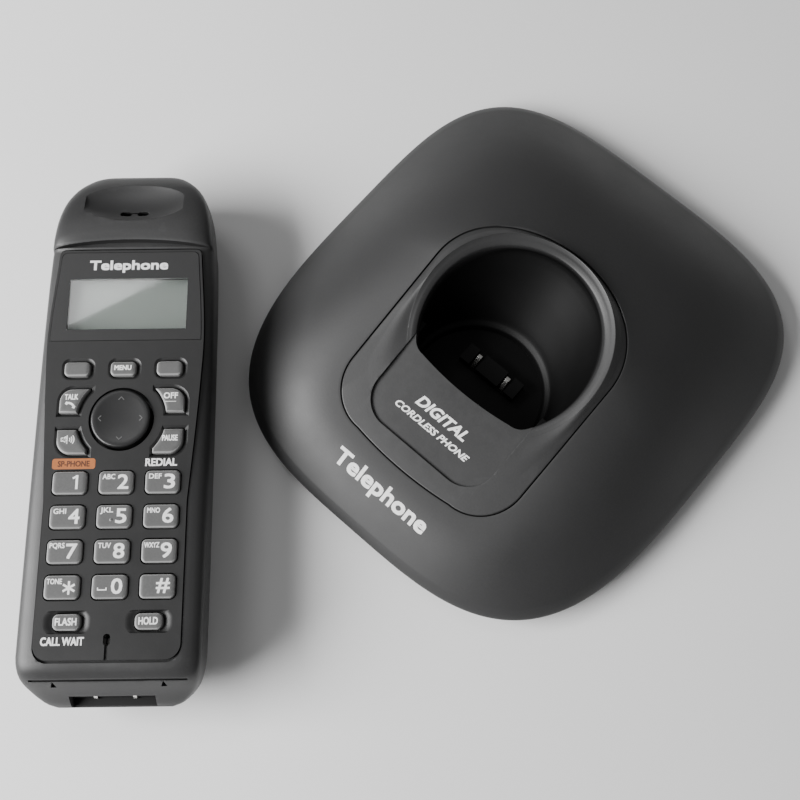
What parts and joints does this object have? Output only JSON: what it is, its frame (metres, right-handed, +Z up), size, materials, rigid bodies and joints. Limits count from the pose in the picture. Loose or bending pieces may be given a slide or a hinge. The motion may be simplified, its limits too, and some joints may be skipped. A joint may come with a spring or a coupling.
{
  "type": "cordless phone with base",
  "caption": "Low square charging base with a lean-back cradle, and a slim handset with keypad, display and earpiece lying on its back beside it.",
  "frame": {"origin": "middle of the whole layout (base and handset together) on the table surface", "axes": "+Z up; -Y is the front of the base, where the cradle opens; +X is to the right as seen from the front; the handset lies to the front left, turned 41.7 degrees"},
  "size_m": [0.192, 0.2316, 0.0355],
  "materials": {
    "base_casing": "fine matt texture",
    "under_casing": "matt",
    "cradle_casing": "fine matt texture",
    "handset_casing": "fine matt texture",
    "panel_plastic": "satin",
    "key_plastic": "satin grey",
    "navigator_plastic": "satin black",
    "window_plastic": "clear with a dark printed border",
    "display_glass": "grey-green display",
    "light_guide": "milky",
    "mat_rubber": "matt",
    "circuit_board": "green laminate",
    "black_plastic": "matt black",
    "contact_metal": "bright plated metal",
    "screw_steel": "zinc plated",
    "foot_rubber": "matt",
    "cell_wrap": "plastic sleeve"
  },
  "bodies": {
    "base": {"base_top_cabinet": "base_casing", "base_bottom_cabinet": "under_casing", "cradle_insert": "cradle_casing", "base_circuit_board": "circuit_board", "base_antenna": "contact_metal", "line_jack": "black_plastic", "power_jack": "black_plastic", "rubber_feet": "foot_rubber", "base_screws": "screw_steel"},
    "contact_left": {"charge_contact_left": "contact_metal"},
    "contact_right": {"charge_contact_right": "contact_metal"},
    "locator": {"locator_key": "under_casing"},
    "handset": {"handset_front_shell": "handset_casing", "handset_rear_shell": "handset_casing", "face_panel": "panel_plastic", "display_window": "window_plastic", "display_module": "display_glass", "display_backlight": "light_guide", "keypad_mat": "mat_rubber", "handset_circuit_board": "circuit_board", "receiver": "black_plastic", "microphone": "contact_metal", "loudspeaker": "black_plastic", "battery_cells": "cell_wrap", "battery_terminals": "contact_metal", "charge_terminals": "contact_metal", "terminal_holder": "black_plastic", "handset_antenna": "contact_metal", "handset_screws": "screw_steel"},
    "cover": {"battery_cover": "handset_casing"},
    "nav_pad": {"navigator_pad": "mat_rubber"},
    "nav_key": {"navigator_key": "navigator_plastic"},
    "key_1": {"key_1": "key_plastic"},
    "key_2": {"key_2": "key_plastic"},
    "key_3": {"key_3": "key_plastic"},
    "key_4": {"key_4": "key_plastic"},
    "key_5": {"key_5": "key_plastic"},
    "key_6": {"key_6": "key_plastic"},
    "key_7": {"key_7": "key_plastic"},
    "key_8": {"key_8": "key_plastic"},
    "key_9": {"key_9": "key_plastic"},
    "key_star": {"key_star": "key_plastic"},
    "key_0": {"key_0": "key_plastic"},
    "key_hash": {"key_hash": "key_plastic"},
    "soft_key_left": {"soft_key_left": "key_plastic"},
    "menu_key": {"menu_key": "key_plastic"},
    "soft_key_right": {"soft_key_right": "key_plastic"},
    "talk_key": {"talk_key": "key_plastic"},
    "off_key": {"off_key": "key_plastic"},
    "speaker_key": {"speaker_key": "key_plastic"},
    "pause_key": {"pause_key": "key_plastic"},
    "flash_key": {"flash_key": "key_plastic"},
    "hold_key": {"hold_key": "key_plastic"}
  },
  "joints": [
    {"name": "handset_lift", "type": "slide", "parent": "base", "child": "handset", "axis": [0, 0, 1], "range_m": [0, 0.12]},
    {"name": "contact_left_press", "type": "slide", "parent": "base", "child": "contact_left", "axis": [0, 0, -1], "range_m": [0, 0.001], "stiffness_N_per_m": 500},
    {"name": "contact_right_press", "type": "slide", "parent": "base", "child": "contact_right", "axis": [0, 0, -1], "range_m": [0, 0.001], "stiffness_N_per_m": 500},
    {"name": "locator_press", "type": "slide", "parent": "base", "child": "locator", "axis": [0, -1, 0], "range_m": [0, 0.0007], "stiffness_N_per_m": 1000},
    {"name": "key_1_press", "type": "slide", "parent": "handset", "child": "key_1", "axis": [0, 0, -1], "range_m": [0, 0.0007], "stiffness_N_per_m": 1200},
    {"name": "key_2_press", "type": "slide", "parent": "handset", "child": "key_2", "axis": [0, 0, -1], "range_m": [0, 0.0007], "stiffness_N_per_m": 1200},
    {"name": "key_3_press", "type": "slide", "parent": "handset", "child": "key_3", "axis": [0, 0, -1], "range_m": [0, 0.0007], "stiffness_N_per_m": 1200},
    {"name": "key_4_press", "type": "slide", "parent": "handset", "child": "key_4", "axis": [0, 0, -1], "range_m": [0, 0.0007], "stiffness_N_per_m": 1200},
    {"name": "key_5_press", "type": "slide", "parent": "handset", "child": "key_5", "axis": [0, 0, -1], "range_m": [0, 0.0007], "stiffness_N_per_m": 1200},
    {"name": "key_6_press", "type": "slide", "parent": "handset", "child": "key_6", "axis": [0, 0, -1], "range_m": [0, 0.0007], "stiffness_N_per_m": 1200},
    {"name": "key_7_press", "type": "slide", "parent": "handset", "child": "key_7", "axis": [0, 0, -1], "range_m": [0, 0.0007], "stiffness_N_per_m": 1200},
    {"name": "key_8_press", "type": "slide", "parent": "handset", "child": "key_8", "axis": [0, 0, -1], "range_m": [0, 0.0007], "stiffness_N_per_m": 1200},
    {"name": "key_9_press", "type": "slide", "parent": "handset", "child": "key_9", "axis": [0, 0, -1], "range_m": [0, 0.0007], "stiffness_N_per_m": 1200},
    {"name": "key_star_press", "type": "slide", "parent": "handset", "child": "key_star", "axis": [0, 0, -1], "range_m": [0, 0.0007], "stiffness_N_per_m": 1200},
    {"name": "key_0_press", "type": "slide", "parent": "handset", "child": "key_0", "axis": [0, 0, -1], "range_m": [0, 0.0007], "stiffness_N_per_m": 1200},
    {"name": "key_hash_press", "type": "slide", "parent": "handset", "child": "key_hash", "axis": [0, 0, -1], "range_m": [0, 0.0007], "stiffness_N_per_m": 1200},
    {"name": "soft_key_left_press", "type": "slide", "parent": "handset", "child": "soft_key_left", "axis": [0, 0, -1], "range_m": [0, 0.0007], "stiffness_N_per_m": 1200},
    {"name": "menu_key_press", "type": "slide", "parent": "handset", "child": "menu_key", "axis": [0, 0, -1], "range_m": [0, 0.0007], "stiffness_N_per_m": 1200},
    {"name": "soft_key_right_press", "type": "slide", "parent": "handset", "child": "soft_key_right", "axis": [0, 0, -1], "range_m": [0, 0.0007], "stiffness_N_per_m": 1200},
    {"name": "talk_key_press", "type": "slide", "parent": "handset", "child": "talk_key", "axis": [0, 0, -1], "range_m": [0, 0.0007], "stiffness_N_per_m": 1200},
    {"name": "off_key_press", "type": "slide", "parent": "handset", "child": "off_key", "axis": [0, 0, -1], "range_m": [0, 0.0007], "stiffness_N_per_m": 1200},
    {"name": "speaker_key_press", "type": "slide", "parent": "handset", "child": "speaker_key", "axis": [0, 0, -1], "range_m": [0, 0.0007], "stiffness_N_per_m": 1200},
    {"name": "pause_key_press", "type": "slide", "parent": "handset", "child": "pause_key", "axis": [0, 0, -1], "range_m": [0, 0.0007], "stiffness_N_per_m": 1200},
    {"name": "flash_key_press", "type": "slide", "parent": "handset", "child": "flash_key", "axis": [0, 0, -1], "range_m": [0, 0.0007], "stiffness_N_per_m": 1200},
    {"name": "hold_key_press", "type": "slide", "parent": "handset", "child": "hold_key", "axis": [0, 0, -1], "range_m": [0, 0.0007], "stiffness_N_per_m": 1200},
    {"name": "navigator_left_right", "type": "hinge", "parent": "handset", "child": "nav_pad", "pos_m": [-0.03516, -0.04843, 0.0224], "axis": [-0.6652, 0.7466, 0], "range_deg": [-2, 2], "stiffness_Nm_per_rad": 0.25},
    {"name": "navigator_up_down", "type": "hinge", "parent": "nav_pad", "child": "nav_key", "pos_m": [-0.03516, -0.04843, 0.0224], "axis": [0.7466, 0.6652, 0], "range_deg": [-2, 2], "stiffness_Nm_per_rad": 0.25},
    {"name": "battery_cover_slide", "type": "slide", "parent": "handset", "child": "cover", "axis": [0.6652, -0.7466, 0], "range_m": [0, 0.008]}
  ]
}
